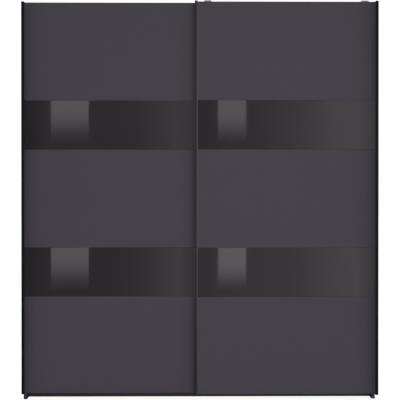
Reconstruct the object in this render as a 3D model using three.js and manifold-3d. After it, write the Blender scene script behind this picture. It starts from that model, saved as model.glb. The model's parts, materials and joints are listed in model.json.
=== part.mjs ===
// Two-door sliding wardrobe: a flat-pack carcass with two leaves that hang from rollers in front of it.
// Millimetres, +Z up. The front faces -Y, and the origin is on the floor at the middle of the outline.
import * as THREE from "three";
import { mergeVertices } from "three/addons/utils/BufferGeometryUtils.js";
import Module from "manifold-3d";

const wasm = await Module();
wasm.setup();

// ---- Driving dimensions -------------------------------------------------------------------------
const WIDTH = 1784; // over the outer edges of the two closed doors
const DEPTH = 640; // front of the front door to the back of the carcass
const BOARD = 16; // carcass boards and door leaves
const OVERLAP = 48; // how far the front door laps over the rear door when both are closed

// Carcass
const CARCASS_WIDTH = 1774;
const CARCASS_TOP = 1950;
const CARCASS_FRONT = -262; // front edges of the side, top and bottom boards
const REAR_EDGE = 316; // rear edges of the boards, where the back panels are nailed on
const GLIDE_HEIGHT = 3;
const PLINTH_TOP = 57;
const PLINTH_FRONT = -208;
const PLINTH_REAR = 280;
const PARTITION_SETBACK = 12;
const SHELF_SETBACK = 26;
const SHELF_TOP = 1680; // top of the hat shelves
const SHELF_SIDE_GAP = 0.5;
const SHELF_REAR_GAP = 2;
const BACK_THICKNESS = 3;
const STRIP_FLANGE = 1; // H-shaped strips that join the back panels
const STRIP_WIDTH = 16;
const PANEL_GAP = 1; // between neighbouring back panels

// Hanging rails
const RAIL_HEIGHT = 30;
const RAIL_DEPTH = 15;
const RAIL_WALL = 1;
const RAIL_Z = 1610;
const RAIL_Y = 20;
const SOCKET_LENGTH = 9;
const SOCKET_WALL = 3;
const SOCKET_CLEARANCE = 0.3;

// Doors
const LEAF_WIDTH = 912;
const LEAF_BOTTOM = 40;
const FIELD = 490; // plain field above, and between, the glass bands
const BAND = 245; // height of a glass band
const BOTTOM_FIELD = 485;
const LEAF_TOP = LEAF_BOTTOM + BOTTOM_FIELD + 2 * (BAND + FIELD);
const GLASS = 4;
const GLASS_PROUD = 0.6; // the glass stands this far in front of the leaf
const ADHESIVE = 0.3; // bond line behind and around the glass
const PROFILE_WEB = 1.5; // edge profiles, which clasp the leaf's vertical edges
const PROFILE_LIP = 1;
const PROFILE_FACE = 15; // how wide the lip shows
const PROFILE_SLOPE = 5; // the inner part of the lip, which slopes down to the leaf
const PROFILE_EDGE = 0.2; // thickness left at the end of the slope
const PROFILE_GAP = 0.5; // between the leaf's edge and the web
const PROFILE_OVERRUN = 5; // how far the profiles run past the leaf at both ends
const PROFILE_CORNER = 1; // rounding of the outer corners
const FRONT_LEAF = -DEPTH / 2 + PROFILE_LIP; // front face of the front leaf
const LEAF_PITCH = 28; // from the front leaf to the rear leaf
const REAR_LEAF = FRONT_LEAF + LEAF_PITCH; // front face of the rear leaf
const DOOR_WIDTH = LEAF_WIDTH + 2 * (PROFILE_GAP + PROFILE_WEB);
const DOOR_OFFSET = (DOOR_WIDTH - OVERLAP) / 2; // door centres stand this far left and right of X = 0

// Rollers and top track
const HANGER_INSET = 65; // hanger centres in from the door's edges
const HANGER_WIDTH = 36;
const STEEL = 3;
const HANGER_FOOT = 1890; // lowest point of a hanger plate
const REAR_HANGER_TOP = 1990;
const BRIDGE_UNDERSIDE = 2002; // the front hangers pass over the rear door here
const WHEEL_RADIUS = 14;
const WHEEL_WIDTH = 9;
const GROOVE_RADIUS = 12.4; // wheel radius at the bottom of its groove
const GROOVE_HALF_WIDTH = 1.7;
const RUNNING_GAP = 0.2;
const BORE_RADIUS = 4.1;
const AXLE_RADIUS = 4;
const COLLAR_RADIUS = 6;
const WHEEL_OFFSET = 9.7; // wheel centre behind the plate that carries it
const AXLE_CLEARANCE = 0.3;
const CLIP_THICKNESS = 1.8;
const REAR_DOOR_RIDGE = -262; // Y of the ridge that carries the rear door
const FRONT_DOOR_RIDGE = -240;
const RIDGE_WIDTH = 2.4;
const RIDGE_TOP = CARCASS_TOP + 12;
const WHEEL_Z = RIDGE_TOP + GROOVE_RADIUS + RUNNING_GAP;
const TRACK_BASE = 2;
const TRACK_FRONT = -270;
const TRACK_BACK = -226;
const TRACK_LIP = 6; // above the carcass top, along the track's front and back
const TRACK_APRON = 16; // below the carcass top, over the top board's front edge
const GUARD_HEIGHT = 42; // the dust guard behind the track
const STOP_LENGTH = 30;
const STOP_HEIGHT = 26;
const STOP_GAP = 1;

// Bottom guides
const GUIDE_INSET = 120;
const GUIDE_WIDTH = 40;
const CHANNEL_WALL = 1.5;
const CHANNEL = 9;
const CHANNEL_DEPTH = 14;
const FINGER = 8;
const FINGER_TOP = 53;
const GUIDE_PLATE_TOP = 84;
const REAR_GUIDE_ARM_Z = 34;
const GUIDE_MOULDING = 4;
const FRONT_GUIDE_ARM_Z = 26;

// Wall brackets
const BRACKET_WIDTH = 30;
const BRACKET_FOOT = 45;
const BRACKET_HEIGHT = 40;
const BRACKET_STEEL = 2;
const BRACKET_HOLE = 3.5;
const BRACKET_X = 760;

const ROUND = 24; // segments of a full circle

// ---- Materials ----------------------------------------------------------------------------------
const material = (color, roughness, metalness = 0) =>
  new THREE.MeshStandardMaterial({ color, roughness, metalness });

const GRAPHITE = material(0x454249, 0.55);
const BLACK_GLASS = material(0x2e2c31, 0.08);
const DARK_ALUMINIUM = material(0x35343a, 0.4, 0.8);
const ZINC_STEEL = material(0xb4b6b8, 0.35, 0.9);
const BLACK_STEEL = material(0x28282a, 0.45, 0.3);
const CHROME_TUBE = material(0xc8cacc, 0.18, 1);
const HARDBOARD = material(0x5b5148, 0.8);
const BLACK_PLASTIC = material(0x232326, 0.5);
const WHITE_NYLON = material(0xe4e2dc, 0.4);

// ---- Geometry helpers ---------------------------------------------------------------------------
const wardrobe = new THREE.Group();

function add(parent, name, geometry, look, position = [0, 0, 0]) {
  const mesh = new THREE.Mesh(geometry, look);
  mesh.name = name;
  mesh.position.set(...position);
  parent.add(mesh);
  return mesh;
}

// A block between two opposite corners.
function block([x0, y0, z0], [x1, y1, z1]) {
  const geometry = new THREE.BoxGeometry(x1 - x0, y1 - y0, z1 - z0);
  return geometry.translate((x0 + x1) / 2, (y0 + y1) / 2, (z0 + z1) / 2);
}

// An outline drawn in Y and Z, run along X from one end to the other.
function runAlongX(shape, x0, x1) {
  const options = { depth: x1 - x0, bevelEnabled: false, curveSegments: 8 };
  const geometry = new THREE.ExtrudeGeometry(shape, options);
  return geometry.applyMatrix4(new THREE.Matrix4().set(0, 0, 1, x0, 1, 0, 0, 0, 0, 1, 0, 0, 0, 0, 0, 1));
}

// An outline drawn in X and Y, run up from one height to another.
function runUp(shape, z0, z1) {
  const options = { depth: z1 - z0, bevelEnabled: false, curveSegments: 4 };
  const geometry = new THREE.ExtrudeGeometry(shape, options);
  return geometry.translate(0, 0, z0);
}

const outline = (points) => new THREE.Shape(points.map(([a, b]) => new THREE.Vector2(a, b)));

// A turned piece whose axis points along +Y; each point is [distance along the axis, radius].
function turnedAlongY(points) {
  const profile = points.map(([along, radius]) => new THREE.Vector2(radius, along));
  return new THREE.LatheGeometry(profile, ROUND);
}

function solid(geometry) {
  const bare = geometry.clone().deleteAttribute("normal").deleteAttribute("uv");
  const merged = mergeVertices(bare, 1e-4);
  const vertProperties = merged.attributes.position.array;
  const triVerts = new Uint32Array(merged.index.array);
  return new wasm.Manifold(new wasm.Mesh({ numProp: 3, vertProperties, triVerts }));
}

function geometryOf(manifold) {
  const { vertProperties, triVerts } = manifold.getMesh();
  const geometry = new THREE.BufferGeometry();
  geometry.setAttribute("position", new THREE.BufferAttribute(vertProperties, 3));
  geometry.setIndex(new THREE.BufferAttribute(triVerts, 1));
  geometry.computeVertexNormals();
  return geometry;
}

const cut = (geometry, ...tools) =>
  geometryOf(tools.reduce((left, tool) => left.subtract(solid(tool)), solid(geometry)));

// A round hole through a plate, along Y.
function drillAlongY(radius, x, y, z, length) {
  return new THREE.CylinderGeometry(radius, radius, length, ROUND).translate(x, y, z);
}

// An oval with flat sides, upright in Y and Z.
function stadium(target, width, height, centreY, centreZ) {
  const radius = width / 2;
  const straight = height / 2 - radius;
  target.moveTo(centreY - radius, centreZ - straight);
  target.absarc(centreY, centreZ - straight, radius, Math.PI, 2 * Math.PI, false);
  target.absarc(centreY, centreZ + straight, radius, 0, Math.PI, false);
  target.closePath();
  return target;
}

// ---- Carcass ------------------------------------------------------------------------------------
const sideOuter = CARCASS_WIDTH / 2;
const sideInner = sideOuter - BOARD;
const bottomTop = PLINTH_TOP + BOARD;
const topUnderside = CARCASS_TOP - BOARD;
const carcass = new THREE.Group();
wardrobe.add(carcass);

function board(name, low, high) {
  return add(carcass, name, block(low, high), GRAPHITE);
}

for (const [side, sign] of [["left", -1], ["right", 1]]) {
  const [x0, x1] = [sign * sideInner, sign * sideOuter].sort((a, b) => a - b);
  board(`side_panel_${side}`, [x0, CARCASS_FRONT, GLIDE_HEIGHT], [x1, REAR_EDGE, CARCASS_TOP]);
}
board("top_panel", [-sideInner, CARCASS_FRONT, topUnderside], [sideInner, REAR_EDGE, CARCASS_TOP]);
board("bottom_panel", [-sideInner, CARCASS_FRONT, PLINTH_TOP], [sideInner, REAR_EDGE, bottomTop]);
const partitionFront = CARCASS_FRONT + PARTITION_SETBACK;
board("centre_partition", [-BOARD / 2, partitionFront, bottomTop], [BOARD / 2, REAR_EDGE, topUnderside]);
for (const [place, y] of [["front", PLINTH_FRONT], ["rear", PLINTH_REAR]])
  board(`plinth_${place}`, [-sideInner, y, GLIDE_HEIGHT], [sideInner, y + BOARD, PLINTH_TOP]);

function floorGlides() {
  const halfWidth = 7;
  const halfLength = 20;
  const shape = new THREE.Shape();
  shape.absarc(0, halfLength - halfWidth, halfWidth, 0, Math.PI, false);
  shape.absarc(0, halfWidth - halfLength, halfWidth, Math.PI, 2 * Math.PI, false);
  shape.closePath();
  for (const [side, x] of [["left", -sideOuter + BOARD / 2], ["right", sideOuter - BOARD / 2]])
    for (const [place, y] of [["front", CARCASS_FRONT + 32], ["rear", REAR_EDGE - 32]])
      add(carcass, `floor_glide_${place}_${side}`, runUp(shape, 0, GLIDE_HEIGHT), BLACK_PLASTIC, [x, y, 0]);
}
floorGlides();

// Four thin back panels; the outer seams run up the middle of each compartment in an H-shaped strip.
const seam = (sideInner + BOARD / 2) / 2;
function backPanels() {
  const seams = [-sideOuter, -seam, 0, seam, sideOuter];
  for (let i = 0; i < 4; i++) {
    const x0 = seams[i] + (i > 0 ? PANEL_GAP / 2 : 0);
    const x1 = seams[i + 1] - (i < 3 ? PANEL_GAP / 2 : 0);
    const panel = block([x0, REAR_EDGE, PLINTH_TOP], [x1, REAR_EDGE + BACK_THICKNESS, CARCASS_TOP]);
    add(carcass, `back_panel_${i + 1}`, panel, HARDBOARD);
  }
  const wide = STRIP_WIDTH / 2;
  const web = PANEL_GAP / 2;
  const back = REAR_EDGE + BACK_THICKNESS;
  const section = outline([
    [-wide, REAR_EDGE - STRIP_FLANGE],
    [wide, REAR_EDGE - STRIP_FLANGE],
    [wide, REAR_EDGE],
    [web, REAR_EDGE],
    [web, back],
    [wide, back],
    [wide, back + STRIP_FLANGE],
    [-wide, back + STRIP_FLANGE],
    [-wide, back],
    [-web, back],
    [-web, REAR_EDGE],
    [-wide, REAR_EDGE],
  ]);
  const endGap = 0.5;
  const strip = runUp(section, bottomTop + endGap, topUnderside - endGap);
  for (const [side, x] of [["left", -seam], ["right", seam]])
    add(carcass, `back_joint_strip_${side}`, strip, BLACK_PLASTIC, [x, 0, 0]);
}
backPanels();

function shelvesAndRails() {
  const rail = stadium(new THREE.Shape(), RAIL_DEPTH, RAIL_HEIGHT, 0, 0);
  rail.holes.push(stadium(new THREE.Path(), RAIL_DEPTH - 2 * RAIL_WALL, RAIL_HEIGHT - 2 * RAIL_WALL, 0, 0));
  const holeDepth = RAIL_DEPTH + 2 * SOCKET_CLEARANCE;
  const holeHeight = RAIL_HEIGHT + 2 * SOCKET_CLEARANCE;
  const rim = 2 * SOCKET_WALL;
  const socket = stadium(new THREE.Shape(), holeDepth + rim, holeHeight + rim, 0, 0);
  socket.holes.push(stadium(new THREE.Path(), holeDepth, holeHeight, 0, 0));
  for (const [side, x0, x1] of [["left", -sideInner, -BOARD / 2], ["right", BOARD / 2, sideInner]]) {
    const shelfLow = [x0 + SHELF_SIDE_GAP, CARCASS_FRONT + SHELF_SETBACK, SHELF_TOP - BOARD];
    const shelfHigh = [x1 - SHELF_SIDE_GAP, REAR_EDGE - SHELF_REAR_GAP, SHELF_TOP];
    board(`hat_shelf_${side}`, shelfLow, shelfHigh);
    const place = [0, RAIL_Y, RAIL_Z];
    add(carcass, `hanging_rail_${side}`, runAlongX(rail, x0 + 1, x1 - 1), CHROME_TUBE, place);
    add(carcass, `rail_socket_${side}_1`, runAlongX(socket, x0, x0 + SOCKET_LENGTH), ZINC_STEEL, place);
    add(carcass, `rail_socket_${side}_2`, runAlongX(socket, x1 - SOCKET_LENGTH, x1), ZINC_STEEL, place);
  }
}
shelvesAndRails();

// The double track lies on the carcass with an apron over the top board's front edge; its two upright
// ridges carry the grooved wheels. An upright strip behind its rear lip keeps dust off them.
function topTrack() {
  const floor = CARCASS_TOP + TRACK_BASE;
  const shape = new THREE.Shape();
  const half = RIDGE_WIDTH / 2;
  const ridge = (y) => {
    shape.lineTo(y - half, floor);
    shape.lineTo(y - half, RIDGE_TOP - half);
    shape.absarc(y, RIDGE_TOP - half, half, Math.PI, 0, true);
    shape.lineTo(y + half, floor);
  };
  shape.moveTo(TRACK_FRONT, CARCASS_TOP - TRACK_APRON);
  shape.lineTo(TRACK_FRONT, CARCASS_TOP + TRACK_LIP);
  shape.lineTo(TRACK_FRONT + TRACK_BASE, CARCASS_TOP + TRACK_LIP);
  shape.lineTo(TRACK_FRONT + TRACK_BASE, floor);
  ridge(REAR_DOOR_RIDGE);
  ridge(FRONT_DOOR_RIDGE);
  shape.lineTo(TRACK_BACK - TRACK_BASE, floor);
  shape.lineTo(TRACK_BACK - TRACK_BASE, CARCASS_TOP + TRACK_LIP);
  shape.lineTo(TRACK_BACK, CARCASS_TOP + TRACK_LIP);
  shape.lineTo(TRACK_BACK, CARCASS_TOP);
  shape.lineTo(TRACK_FRONT + TRACK_BASE, CARCASS_TOP);
  shape.lineTo(TRACK_FRONT + TRACK_BASE, CARCASS_TOP - TRACK_APRON);
  shape.closePath();
  add(carcass, "top_track", runAlongX(shape, -sideOuter, sideOuter), DARK_ALUMINIUM);
  const low = [-sideOuter, TRACK_BACK, CARCASS_TOP];
  const high = [sideOuter, TRACK_BACK + TRACK_BASE, CARCASS_TOP + GUARD_HEIGHT];
  add(carcass, "track_guard", block(low, high), DARK_ALUMINIUM);
}
topTrack();

// One moulded stop at each end of the track: a nose for the rear door's wheel in the first lane, and
// a face for the front door's hanger behind it.
function trackStops() {
  const lastWheel = WIDTH / 2 - HANGER_INSET + WHEEL_RADIUS + STOP_GAP;
  const lastHanger = WIDTH / 2 - HANGER_INSET + HANGER_WIDTH / 2 + STOP_GAP;
  const end = lastWheel + STOP_LENGTH;
  const low = CARCASS_TOP + TRACK_BASE;
  const gap = 0.3;
  const front = REAR_DOOR_RIDGE - WHEEL_WIDTH / 2;
  const noseBack = REAR_DOOR_RIDGE + WHEEL_WIDTH / 2;
  const back = TRACK_BACK - TRACK_BASE - gap;
  for (const [side, sign] of [["left", -1], ["right", 1]]) {
    const shape = outline([
      [sign * lastWheel, front],
      [sign * end, front],
      [sign * end, back],
      [sign * lastHanger, back],
      [sign * lastHanger, noseBack],
      [sign * lastWheel, noseBack],
    ]);
    const slots = [REAR_DOOR_RIDGE, FRONT_DOOR_RIDGE].map((y) => {
      const half = RIDGE_WIDTH / 2 + gap;
      return block([-WIDTH, y - half, low - 1], [WIDTH, y + half, RIDGE_TOP + gap]);
    });
    const stop = runUp(shape, low + gap, low + STOP_HEIGHT);
    add(carcass, `track_stop_${side}`, cut(stop, ...slots), BLACK_PLASTIC);
  }
}
trackStops();

// A double channel, open downwards, under the bottom board's front edge.
const guideLane = (n) => CARCASS_FRONT + CHANNEL_WALL + CHANNEL / 2 + n * (CHANNEL + CHANNEL_WALL);
function bottomGuideRail() {
  const high = PLINTH_TOP;
  const low = high - TRACK_BASE - CHANNEL_DEPTH;
  const ceiling = high - TRACK_BASE;
  const points = [[CARCASS_FRONT, high]];
  for (let lane = 0; lane < 3; lane++) {
    const y = CARCASS_FRONT + lane * (CHANNEL + CHANNEL_WALL);
    if (lane > 0) points.push([y, ceiling]);
    points.push([y, low], [y + CHANNEL_WALL, low]);
    if (lane < 2) points.push([y + CHANNEL_WALL, ceiling]);
  }
  points.push([CARCASS_FRONT + 2 * (CHANNEL + CHANNEL_WALL) + CHANNEL_WALL, high]);
  const rail = runAlongX(outline(points.reverse()), -sideInner, sideInner);
  add(carcass, "bottom_guide_rail", rail, DARK_ALUMINIUM);
}
bottomGuideRail();

function wallBrackets() {
  const foot = CARCASS_TOP + BRACKET_STEEL;
  const back = DEPTH / 2;
  const section = outline([
    [back - BRACKET_FOOT, CARCASS_TOP],
    [back, CARCASS_TOP],
    [back, CARCASS_TOP + BRACKET_HEIGHT],
    [back - BRACKET_STEEL, CARCASS_TOP + BRACKET_HEIGHT],
    [back - BRACKET_STEEL, foot],
    [back - BRACKET_FOOT, foot],
  ]);
  for (const [side, x] of [["left", -BRACKET_X], ["right", BRACKET_X]]) {
    const angle = runAlongX(section, x - BRACKET_WIDTH / 2, x + BRACKET_WIDTH / 2);
    const hole = drillAlongY(BRACKET_HOLE, x, back, CARCASS_TOP + BRACKET_HEIGHT * 0.7, 4 * BRACKET_STEEL);
    add(carcass, `wall_bracket_${side}`, cut(angle, hole), ZINC_STEEL);
  }
}
wallBrackets();

// ---- Doors --------------------------------------------------------------------------------------
// A door group sits at the door's middle in X; leafFront is the Y of its leaf's front face.
const leafHalf = LEAF_WIDTH / 2;
const doorHalf = DOOR_WIDTH / 2;
const bandHalf = doorHalf - PROFILE_FACE - ADHESIVE;
const bands = {
  lower: LEAF_BOTTOM + BOTTOM_FIELD,
  upper: LEAF_BOTTOM + BOTTOM_FIELD + BAND + FIELD,
};

function leafAndGlass(door, name, leafFront) {
  const pocket = GLASS - GLASS_PROUD + ADHESIVE;
  const pockets = Object.values(bands).map((z) =>
    block([-bandHalf - ADHESIVE, leafFront - 1, z], [bandHalf + ADHESIVE, leafFront + pocket, z + BAND]),
  );
  const leaf = block([-leafHalf, leafFront, LEAF_BOTTOM], [leafHalf, leafFront + BOARD, LEAF_TOP]);
  add(door, `${name}_leaf`, cut(leaf, ...pockets), GRAPHITE);
  const front = leafFront - GLASS_PROUD;
  for (const [place, z] of Object.entries(bands)) {
    const glass = block([-bandHalf, front, z + ADHESIVE], [bandHalf, front + GLASS, z + BAND - ADHESIVE]);
    add(door, `${name}_glass_${place}`, glass, BLACK_GLASS);
  }
}

// A U-shaped profile round each vertical edge of the leaf. Its outer corners are softly rounded, and its
// lips slope down to the leaf.
function edgeProfiles(door, name, leafFront) {
  const front = leafFront - PROFILE_LIP;
  const back = leafFront + BOARD + PROFILE_LIP;
  const r = PROFILE_CORNER;
  for (const [side, sign] of [["left", -1], ["right", 1]]) {
    const outer = sign * doorHalf;
    const inner = sign * (doorHalf - PROFILE_FACE);
    const crest = sign * (doorHalf - PROFILE_FACE + PROFILE_SLOPE);
    const web = sign * (doorHalf - PROFILE_WEB);
    const shape = new THREE.Shape();
    shape.moveTo(inner, leafFront - PROFILE_EDGE);
    shape.lineTo(crest, front);
    shape.lineTo(outer - sign * r, front);
    shape.quadraticCurveTo(outer, front, outer, front + r);
    shape.lineTo(outer, back - r);
    shape.quadraticCurveTo(outer, back, outer - sign * r, back);
    shape.lineTo(crest, back);
    shape.lineTo(inner, leafFront + BOARD + PROFILE_EDGE);
    shape.lineTo(inner, leafFront + BOARD);
    shape.lineTo(web, leafFront + BOARD);
    shape.lineTo(web, leafFront);
    shape.lineTo(inner, leafFront);
    shape.closePath();
    const length = runUp(shape, LEAF_BOTTOM - PROFILE_OVERRUN, LEAF_TOP + PROFILE_OVERRUN);
    add(door, `${name}_profile_${side}`, length, DARK_ALUMINIUM);
  }
}

// A grooved roller turned about Y; the groove runs on a track ridge.
function wheelGeometry() {
  const half = WHEEL_WIDTH / 2;
  const points = [
    [-half, BORE_RADIUS],
    [-half, WHEEL_RADIUS - 0.6],
    [-half + 0.6, WHEEL_RADIUS],
    [-GROOVE_HALF_WIDTH - 1.2, WHEEL_RADIUS],
  ];
  const steps = 8;
  for (let i = 0; i <= steps; i++) {
    const angle = (Math.PI * i) / steps;
    const depth = WHEEL_RADIUS - 0.1 - GROOVE_RADIUS;
    points.push([-GROOVE_HALF_WIDTH * Math.cos(angle), WHEEL_RADIUS - 0.1 - depth * Math.sin(angle)]);
  }
  points.push(
    [GROOVE_HALF_WIDTH + 1.2, WHEEL_RADIUS],
    [half - 0.6, WHEEL_RADIUS],
    [half, WHEEL_RADIUS - 0.6],
    [half, BORE_RADIUS],
    [-half, BORE_RADIUS],
  );
  return turnedAlongY(points);
}

// The axle starts flush with the front of its 3 mm plate, and holds the wheel between collar and clip.
function axleGeometry() {
  const collarStart = STEEL + AXLE_CLEARANCE;
  const wheelStart = STEEL + WHEEL_OFFSET - WHEEL_WIDTH / 2 - AXLE_CLEARANCE;
  const clipStart = wheelStart + WHEEL_WIDTH + 2 * AXLE_CLEARANCE;
  return turnedAlongY([
    [0, 0],
    [0, AXLE_RADIUS],
    [collarStart, AXLE_RADIUS],
    [collarStart, COLLAR_RADIUS],
    [wheelStart, COLLAR_RADIUS],
    [wheelStart, AXLE_RADIUS],
    [clipStart, AXLE_RADIUS],
    [clipStart, COLLAR_RADIUS],
    [clipStart + CLIP_THICKNESS, COLLAR_RADIUS],
    [clipStart + CLIP_THICKNESS, 0],
  ]);
}

// A hanger plate screwed to the back of the leaf.
const flatHanger = (front) =>
  outline([
    [front, HANGER_FOOT],
    [front + STEEL, HANGER_FOOT],
    [front + STEEL, REAR_HANGER_TOP],
    [front, REAR_HANGER_TOP],
  ]);

// The same plate bent back over the rear door, with a leg that comes down to the wheel.
function bridgeHanger(front, legFront) {
  const legFoot = WHEEL_Z - WHEEL_RADIUS;
  return outline([
    [front, HANGER_FOOT],
    [front + STEEL, HANGER_FOOT],
    [front + STEEL, BRIDGE_UNDERSIDE],
    [legFront, BRIDGE_UNDERSIDE],
    [legFront, legFoot],
    [legFront + STEEL, legFoot],
    [legFront + STEEL, BRIDGE_UNDERSIDE + STEEL],
    [front, BRIDGE_UNDERSIDE + STEEL],
  ]);
}

function rollers(door, name, leafFront, ridge, hangerOutline) {
  const axleStart = ridge - WHEEL_OFFSET - STEEL;
  const section = hangerOutline(leafFront + BOARD + AXLE_CLEARANCE, axleStart);
  for (const [side, sign] of [["left", -1], ["right", 1]]) {
    const x = sign * (doorHalf - HANGER_INSET);
    const hole = drillAlongY(AXLE_RADIUS + AXLE_CLEARANCE, x, axleStart + STEEL / 2, WHEEL_Z, 3 * STEEL);
    const plate = runAlongX(section, x - HANGER_WIDTH / 2, x + HANGER_WIDTH / 2);
    add(door, `${name}_hanger_${side}`, cut(plate, hole), ZINC_STEEL);
    add(door, `${name}_axle_${side}`, axleGeometry(), ZINC_STEEL, [x, axleStart, WHEEL_Z]);
    add(door, `${name}_wheel_${side}`, wheelGeometry(), WHITE_NYLON, [x, ridge, WHEEL_Z]);
  }
}

// The rear door's guides are mouldings whose finger stands in the first channel of the bottom rail.
function mouldedGuides(door, name, leafFront) {
  const plate = leafFront + BOARD + AXLE_CLEARANCE;
  const finger = guideLane(0);
  const armTop = REAR_GUIDE_ARM_Z + GUIDE_MOULDING;
  const section = outline([
    [plate, REAR_GUIDE_ARM_Z],
    [finger + FINGER / 2, REAR_GUIDE_ARM_Z],
    [finger + FINGER / 2, FINGER_TOP],
    [finger - FINGER / 2, FINGER_TOP],
    [finger - FINGER / 2, armTop],
    [plate + GUIDE_MOULDING, armTop],
    [plate + GUIDE_MOULDING, GUIDE_PLATE_TOP],
    [plate, GUIDE_PLATE_TOP],
  ]);
  for (const [side, sign] of [["left", -1], ["right", 1]]) {
    const x = sign * (doorHalf - GUIDE_INSET);
    const guide = runAlongX(section, x - GUIDE_WIDTH / 2, x + GUIDE_WIDTH / 2);
    add(door, `${name}_guide_${side}`, guide, BLACK_PLASTIC);
  }
}

// The front door's guides are steel arms that pass under the rear door, each with a nylon slider.
function armGuides(door, name, leafFront) {
  const plate = leafFront + BOARD + AXLE_CLEARANCE;
  const finger = guideLane(1);
  const armTop = FRONT_GUIDE_ARM_Z + STEEL;
  const section = outline([
    [plate, FRONT_GUIDE_ARM_Z],
    [finger + FINGER / 2, FRONT_GUIDE_ARM_Z],
    [finger + FINGER / 2, armTop],
    [plate + STEEL, armTop],
    [plate + STEEL, GUIDE_PLATE_TOP],
    [plate, GUIDE_PLATE_TOP],
  ]);
  for (const [side, sign] of [["left", -1], ["right", 1]]) {
    const x = sign * (doorHalf - GUIDE_INSET);
    const half = GUIDE_WIDTH / 2;
    add(door, `${name}_guide_arm_${side}`, runAlongX(section, x - half, x + half), BLACK_STEEL);
    const slider = block(
      [x - half, finger - FINGER / 2, armTop + AXLE_CLEARANCE],
      [x + half, finger + FINGER / 2, FINGER_TOP],
    );
    add(door, `${name}_guide_slider_${side}`, slider, WHITE_NYLON);
  }
}

function makeDoor({ name, x, leafFront, ridge, hanger, guides }) {
  const door = new THREE.Group();
  door.position.x = x;
  wardrobe.add(door);
  leafAndGlass(door, name, leafFront);
  edgeProfiles(door, name, leafFront);
  rollers(door, name, leafFront, ridge, hanger);
  guides(door, name, leafFront);
}

makeDoor({
  name: "left_door",
  x: -DOOR_OFFSET,
  leafFront: REAR_LEAF,
  ridge: REAR_DOOR_RIDGE,
  hanger: flatHanger,
  guides: mouldedGuides,
});
makeDoor({
  name: "right_door",
  x: DOOR_OFFSET,
  leafFront: FRONT_LEAF,
  ridge: FRONT_DOOR_RIDGE,
  hanger: bridgeHanger,
  guides: armGuides,
});

export default wardrobe;
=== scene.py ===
"""Looks of a two-door sliding wardrobe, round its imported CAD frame. Metres, +Z up, the front faces -Y."""

import json
import math

import bmesh
import bpy
from mathutils import Matrix, Vector
from mathutils.geometry import tessellate_polygon

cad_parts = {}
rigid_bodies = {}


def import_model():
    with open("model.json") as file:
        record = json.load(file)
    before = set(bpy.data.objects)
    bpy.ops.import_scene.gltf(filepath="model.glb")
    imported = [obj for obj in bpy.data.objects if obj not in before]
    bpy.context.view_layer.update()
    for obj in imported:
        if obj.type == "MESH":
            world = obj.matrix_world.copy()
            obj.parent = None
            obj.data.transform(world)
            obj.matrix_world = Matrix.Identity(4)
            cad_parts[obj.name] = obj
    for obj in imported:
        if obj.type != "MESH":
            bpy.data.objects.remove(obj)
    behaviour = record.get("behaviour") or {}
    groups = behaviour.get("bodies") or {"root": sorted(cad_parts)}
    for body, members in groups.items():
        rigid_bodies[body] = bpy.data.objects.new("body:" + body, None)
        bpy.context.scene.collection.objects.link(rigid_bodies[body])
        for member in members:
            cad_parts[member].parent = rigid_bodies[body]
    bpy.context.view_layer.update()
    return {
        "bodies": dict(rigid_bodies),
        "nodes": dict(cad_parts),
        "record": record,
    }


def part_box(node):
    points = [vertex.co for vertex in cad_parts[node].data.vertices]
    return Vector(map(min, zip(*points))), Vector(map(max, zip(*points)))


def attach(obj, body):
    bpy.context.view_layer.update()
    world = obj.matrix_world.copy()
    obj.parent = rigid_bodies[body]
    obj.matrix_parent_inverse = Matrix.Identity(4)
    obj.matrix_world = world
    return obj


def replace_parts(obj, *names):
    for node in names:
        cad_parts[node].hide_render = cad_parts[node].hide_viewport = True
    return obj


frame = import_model()
MM = 0.001
DOORS = ("left_door", "right_door")
SIDES = ("left", "right")


# ---- Camera -------------------------------------------------------------------------------------
EYE = Vector((-0.0302, -4.4552, 1.0258))
YAW, PITCH = math.radians(0.444), math.radians(-0.249)
LENS, SENSOR = 74.81, 36.0  # millimetres


def make_camera():
    data = bpy.data.cameras.new("camera")
    data.sensor_width, data.lens = SENSOR, LENS
    data.clip_start, data.clip_end = 0.05, 200.0
    camera = bpy.data.objects.new("camera", data)
    bpy.context.scene.collection.objects.link(camera)
    camera.location = EYE
    camera.rotation_euler = (math.pi / 2 + PITCH, 0.0, -YAW)
    bpy.context.scene.camera = camera


make_camera()


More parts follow.
